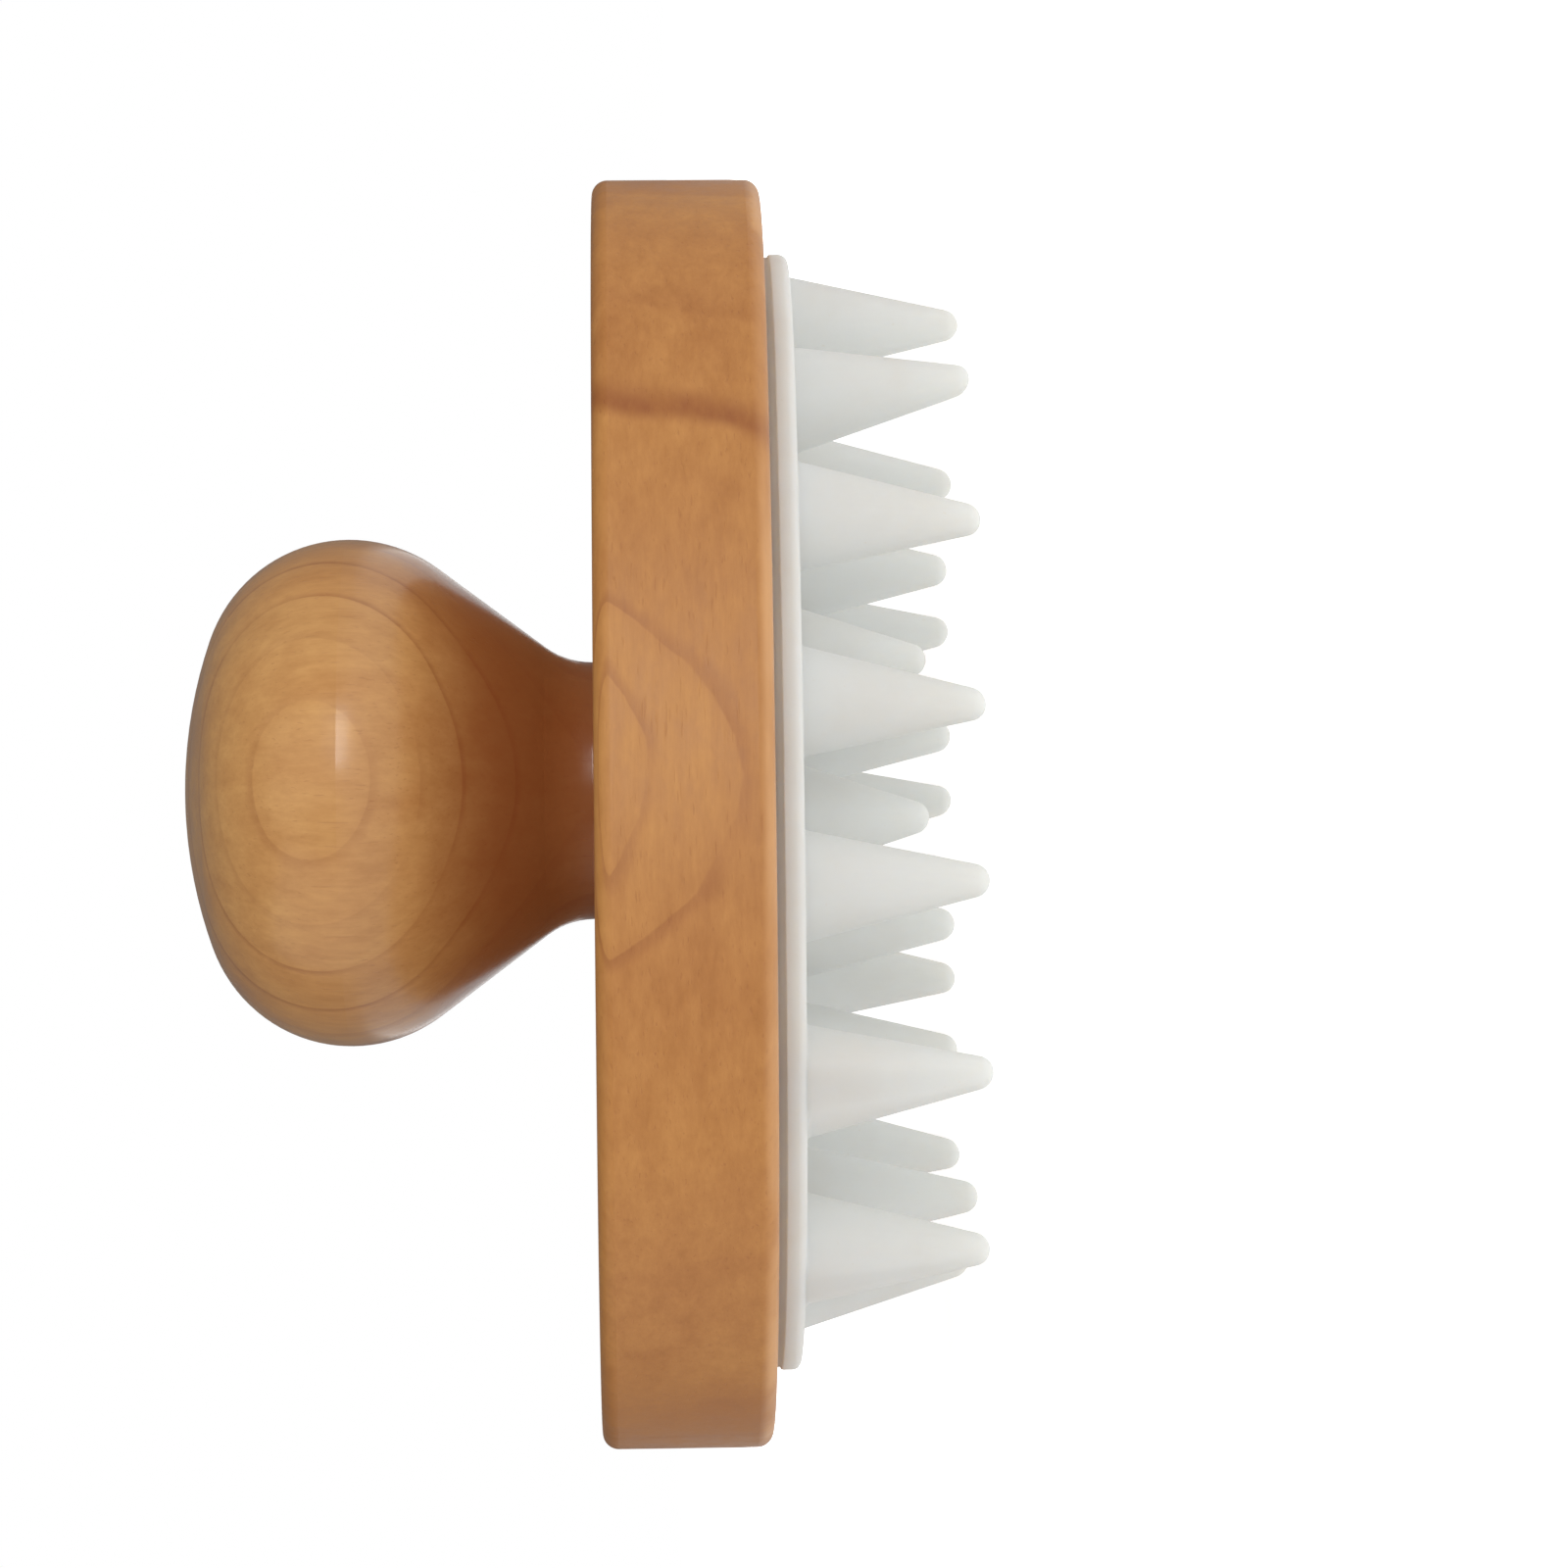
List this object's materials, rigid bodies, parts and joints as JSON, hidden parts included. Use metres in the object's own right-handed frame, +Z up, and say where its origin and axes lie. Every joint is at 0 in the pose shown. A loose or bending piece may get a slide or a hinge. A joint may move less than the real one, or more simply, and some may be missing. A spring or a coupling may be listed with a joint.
{
  "type": "scalp massager brush",
  "caption": "Palm-held scalp massager brush: oval wooden base with a turned wooden knob on its back and a soft pale silicone pad of tapered bristles on its front.",
  "frame": {"origin": "under the middle of the wooden base, on the plane of the bristle tips that the brush stands on", "axes": "+X along the base's length, +Z up the knob's axis from the bristle tips to the knob's crown, +Y across the base"},
  "size_m": [0.09, 0.062, 0.0553],
  "materials": {
    "base_wood": "satin lacquered",
    "knob_wood": "satin lacquered",
    "silicone": "soft matt, slightly translucent",
    "screw_steel": "zinc plated",
    "glue": "clear cured adhesive"
  },
  "bodies": {
    "root": {"wood_base": "base_wood", "knob": "knob_wood", "knob_screw": "screw_steel", "pad_glue": "glue", "pad_plate": "silicone", "outer_bristle_01": "silicone", "outer_bristle_02": "silicone", "outer_bristle_03": "silicone", "outer_bristle_04": "silicone", "outer_bristle_05": "silicone", "outer_bristle_06": "silicone", "outer_bristle_07": "silicone", "outer_bristle_08": "silicone", "outer_bristle_09": "silicone", "outer_bristle_10": "silicone", "outer_bristle_11": "silicone", "outer_bristle_12": "silicone", "end_bristle_01": "silicone", "end_bristle_02": "silicone", "middle_bristle_01": "silicone", "middle_bristle_02": "silicone", "middle_bristle_03": "silicone", "middle_bristle_04": "silicone", "inner_bristle_01": "silicone", "inner_bristle_02": "silicone", "inner_bristle_03": "silicone", "inner_bristle_04": "silicone"}
  },
  "joints": []
}
